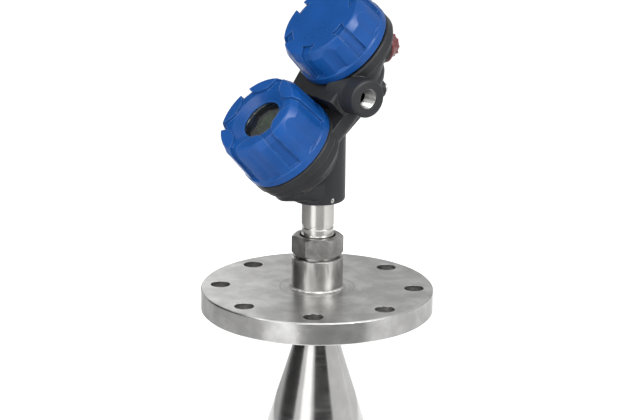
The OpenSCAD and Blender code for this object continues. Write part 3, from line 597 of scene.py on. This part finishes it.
def display_frame():
    """A flat frame that runs round the edge of the glass, just above it."""
    shape = bmesh.new()
    middle = Vector((glass_middle.x, glass_middle.y, glass_high.z + FRAME_LIFT))
    bmesh.ops.create_grid(
        shape, x_segments=1, y_segments=1, size=0.5,
        matrix=Matrix.Translation(middle) @ Matrix.Diagonal((glass_size.x, glass_size.y, 1.0, 1.0)))
    inner = list(shape.faces)
    bmesh.ops.inset_region(shape, faces=inner, thickness=FRAME_WIDE, use_boundary=True,
                           use_even_offset=True)
    bmesh.ops.delete(shape, geom=inner, context="FACES")
    bmesh.ops.solidify(shape, geom=list(shape.faces), thickness=-FRAME_THICK)
    return shape


frame_metal = plain_finish("display_frame_metal", (0.5, 0.36, 0.2), 0.22, grain=700.0, Metallic=1.0)
make_piece("display_frame", display_frame(), display_place, "head", frame_metal)

# %% [markdown]
# The film shows the level as a bar graph. The bars could be painted in the
# film's finish, but as thin plates they keep crisp edges at any distance. They
# stand on one line and grow from left to right, so a loop makes them.

# %% Bars of the display
BARS, BAR_THICK, BAR_FILL, BAR_MARGIN = 12, 0.00006, 0.6, 0.003
FIRST_HEIGHT, HEIGHT_STEP, BAR_FOOT = 0.1, 0.035, 0.32


def display_bars():
    """A row of thin plates on the glass, each taller than the one before."""
    shape = bmesh.new()
    pitch = (glass_size.x - 2 * (FRAME_WIDE + BAR_MARGIN)) / BARS
    foot = glass_middle.y - glass_size.y * BAR_FOOT
    for i in range(BARS):
        height = glass_size.y * (FIRST_HEIGHT + HEIGHT_STEP * i)
        middle = (glass_middle.x + pitch * (i + 0.5 - BARS / 2), foot + height / 2,
                  glass_high.z + BAR_THICK / 2)
        size = (pitch * BAR_FILL, height, BAR_THICK, 1.0)
        bmesh.ops.create_cube(
            shape, size=1.0, matrix=Matrix.Translation(middle) @ Matrix.Diagonal(size))
    return shape


bar_ink = plain_finish("display_bar_ink", (0.01, 0.012, 0.01), 0.4)
make_piece("display_bars", display_bars(), display_place, "head", bar_ink)

# %% [markdown]
# The stage is a pale floor just under the horn's mouth. A white backdrop could
# be used as well, but a floor also catches a faint shadow, which makes the
# instrument stand. It glows a little, so that it stays an even white far away.

# %% Floor
def stage_piece(name, shape, finish):
    """An object of the stage, which isn't part of the instrument."""
    piece = new_object(name, shape, finish)
    return piece


FLOOR_GAP, FLOOR_REACH = 0.0003, 12.0
floor_paint = Finish("pale_floor", Roughness=0.9, Base_Color=rgb(0.86, 0.86, 0.86),
                     Emission_Color=rgb(1.0, 1.0, 1.0), Emission_Strength=0.3)
floor_shape = bmesh.new()
bmesh.ops.create_grid(floor_shape, x_segments=8, y_segments=8, size=FLOOR_REACH,
                      matrix=Matrix.Translation((0, 0, cad_box[0].z - FLOOR_GAP)))
stage_piece("floor", floor_shape, floor_paint)
print("floor at", round(cad_box[0].z - FLOOR_GAP, 4))

# %% [markdown]
# The room is an even white world, which lights every side softly. A panorama of
# a real room could be wrapped round the part instead, but it would put strange
# colours on the steel.

# %% Room
ROOM_STRENGTH = 0.8

world = bpy.data.worlds.new("studio_room")
bpy.context.scene.world = world
world.use_nodes = True
sky = world.node_tree.nodes["Background"]
sky.inputs["Color"].default_value = rgb(1.0, 1.0, 1.0)
sky.inputs["Strength"].default_value = ROOM_STRENGTH
print("room:", world.name, "strength:", ROOM_STRENGTH)

# %% [markdown]
# Metal shows what stands round it, and in an all-white room it looks like chalk.
# So the room holds curved cards, as a studio does. Dark standing ones put the
# long streaks on the horn, ones that lie on the ground tone the flange's rim
# and the column above it, and a bright one lights the covers' bevels. Only
# reflections see them: they cast no shadow and stay out of every picture. Each
# is a straight edge that is spun about the vertical axis, so it keeps its
# distance from the part.

# %% Cards
VIEW_TURN = math.radians(56.0)
GROUND_GAP = 0.001
ground = cad_box[0].z + GROUND_GAP


def around_view(turn, height, distance):
    """A point at a compass turn in degrees from the camera's own azimuth."""
    azimuth = VIEW_TURN + math.radians(turn)
    return Vector((math.sin(azimuth) * distance, -math.cos(azimuth) * distance, height))


def card(name, turns, near, far, tone, glow=0.0):
    """A card between two turns from the camera, with (distance, height) of its two edges."""
    shape = bmesh.new()
    ends = [shape.verts.new(around_view(turns[0], height, distance)) for distance, height in (near, far)]
    edge = shape.edges.new(ends)
    bmesh.ops.spin(shape, geom=ends + [edge], cent=(0, 0, 0), axis=(0, 0, 1), steps=16,
                   angle=math.radians(turns[1] - turns[0]), dvec=(0, 0, 0), use_merge=False)
    paint = Finish(name, Roughness=1.0, Base_Color=rgb(tone, tone, tone), Specular_IOR_Level=0.0,
                   Emission_Color=rgb(1.0, 1.0, 1.0), Emission_Strength=glow)
    piece = stage_piece(name, shape, paint)
    piece.visible_camera = piece.visible_diffuse = piece.visible_shadow = False
    piece.visible_transmission = piece.visible_volume_scatter = False


def ground_card(name, turns, near, far, tone):
    """A card that lies on the ground between two distances."""
    card(name, turns, (near, ground), (far, ground), tone)


card("left_card", (-128, -58), (1.65, ground), (1.65, 0.6), tone=0.02)
card("high_left_card", (-165, -58), (1.65, 0.6), (1.65, 2.0), tone=0.06)
card("front_card", (-6, 44), (1.7, 0.05), (1.7, 0.52), tone=0.02)
card("bevel_card", (34, 70), (1.25, 0.8), (1.25, 1.2), tone=0.5, glow=9.0)
card("rear_card", (112, 232), (1.8, ground), (1.8, 0.9), tone=0.4)
ground_card("left_near_card", (-150, -46), 0.12, 0.62, tone=0.42)
ground_card("left_middle_card", (-150, -46), 0.62, 1.05, tone=0.2)
ground_card("left_far_card", (-140, -46), 1.05, 1.6, tone=0.05)
ground_card("gap_near_card", (-46, -16), 0.12, 1.12, tone=0.78)
ground_card("front_near_card", (-16, 45), 0.12, 1.12, tone=0.22)
ground_card("right_near_card", (45, 150), 0.12, 1.12, tone=0.62)

# %% [markdown]
# Six soft lamps light the part. A key high on the right and a crown lamp above
# the camera light the covers, and a broad fill on the left opens the shaded
# side. Three weak ones lift the flange, its rim and the column. Area lamps are
# used, because their size sets how soft each highlight is. None of them shows
# in the picture itself.

# %% Lamps
HEAD = Vector((0.0, 0.0, 0.2))
FLANGE = Vector((0.0, 0.0, 0.02))
PROCESS_FACE = Vector((0.0, 0.0, 0.0))


def soft_lamp(name, position, target, size, power):
    """A rectangular lamp that points at a target."""
    data = bpy.data.lights.new(name, "AREA")
    data.shape = "RECTANGLE"
    data.size, data.size_y = size
    data.energy = power
    lamp = bpy.data.objects.new(name, data)
    bpy.context.scene.collection.objects.link(lamp)
    lamp.visible_camera = False
    lamp.location = position
    lamp.rotation_mode = "QUATERNION"
    lamp.rotation_quaternion = (position - target).to_track_quat("Z", "Y")


soft_lamp("key_lamp", around_view(54, height=0.92, distance=1.3), HEAD, (0.7, 0.4), power=11)
soft_lamp("crown_lamp", around_view(12, height=1.3, distance=0.95), HEAD, (1.1, 0.4), power=12)
soft_lamp("fill_lamp", around_view(-55, height=1.2, distance=1.6), HEAD, (1.2, 1.4), power=20)
soft_lamp("strip_lamp", around_view(-27, height=0.25, distance=1.6), PROCESS_FACE, (0.75, 0.8), power=2.0)
soft_lamp("bridge_lamp", around_view(-10, height=0.85, distance=1.6), PROCESS_FACE, (0.9, 0.4), power=2.5)
soft_lamp("flange_lamp", around_view(-155, height=0.3, distance=0.75), FLANGE, (0.5, 0.35), power=0.5)
print("lamps:", [lamp.name for lamp in bpy.data.lights])

# %% [markdown]
# The camera stands 2.37 metres from the flange's face, 56 degrees round from
# the front and nearly 18 degrees up, with a long lens. A long lens keeps the
# flange's ellipse and the two covers in the proportions that a catalogue view
# gives them. It looks at the neck, a few millimetres beside the axis, and is
# rolled by half a degree.

# %% Camera
RISE, ROLL = math.radians(17.835), math.radians(0.564)
DISTANCE, AIM_HEIGHT, AIM_SIDE = 2.374, 0.1019, -0.00278
LENS_MM, SENSOR_MM = 137.863, 36.0

flange_face = Vector((0.0, 0.0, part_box("flange")[1].z))
stand = flange_face + around_view(0, DISTANCE * math.sin(RISE), DISTANCE * math.cos(RISE))
aim = around_view(90, 0.0, AIM_SIDE) + Vector((0.0, 0.0, AIM_HEIGHT))
look = (aim - stand).to_track_quat("-Z", "Y").to_matrix().to_4x4()
lens = bpy.data.cameras.new("camera")
lens.sensor_width, lens.lens = SENSOR_MM, LENS_MM
camera = bpy.data.objects.new("camera", lens)
bpy.context.scene.collection.objects.link(camera)
camera.matrix_world = Matrix.Translation(stand) @ look @ Matrix.Rotation(ROLL, 4, "Z")
bpy.context.scene.camera = camera
bpy.context.scene.view_settings.view_transform = "Standard"
print("camera at", [round(number, 3) for number in stand])

# %% [markdown]
# Last, the view layer is brought up to date.

# %% Update the view layer
bpy.context.view_layer.update()
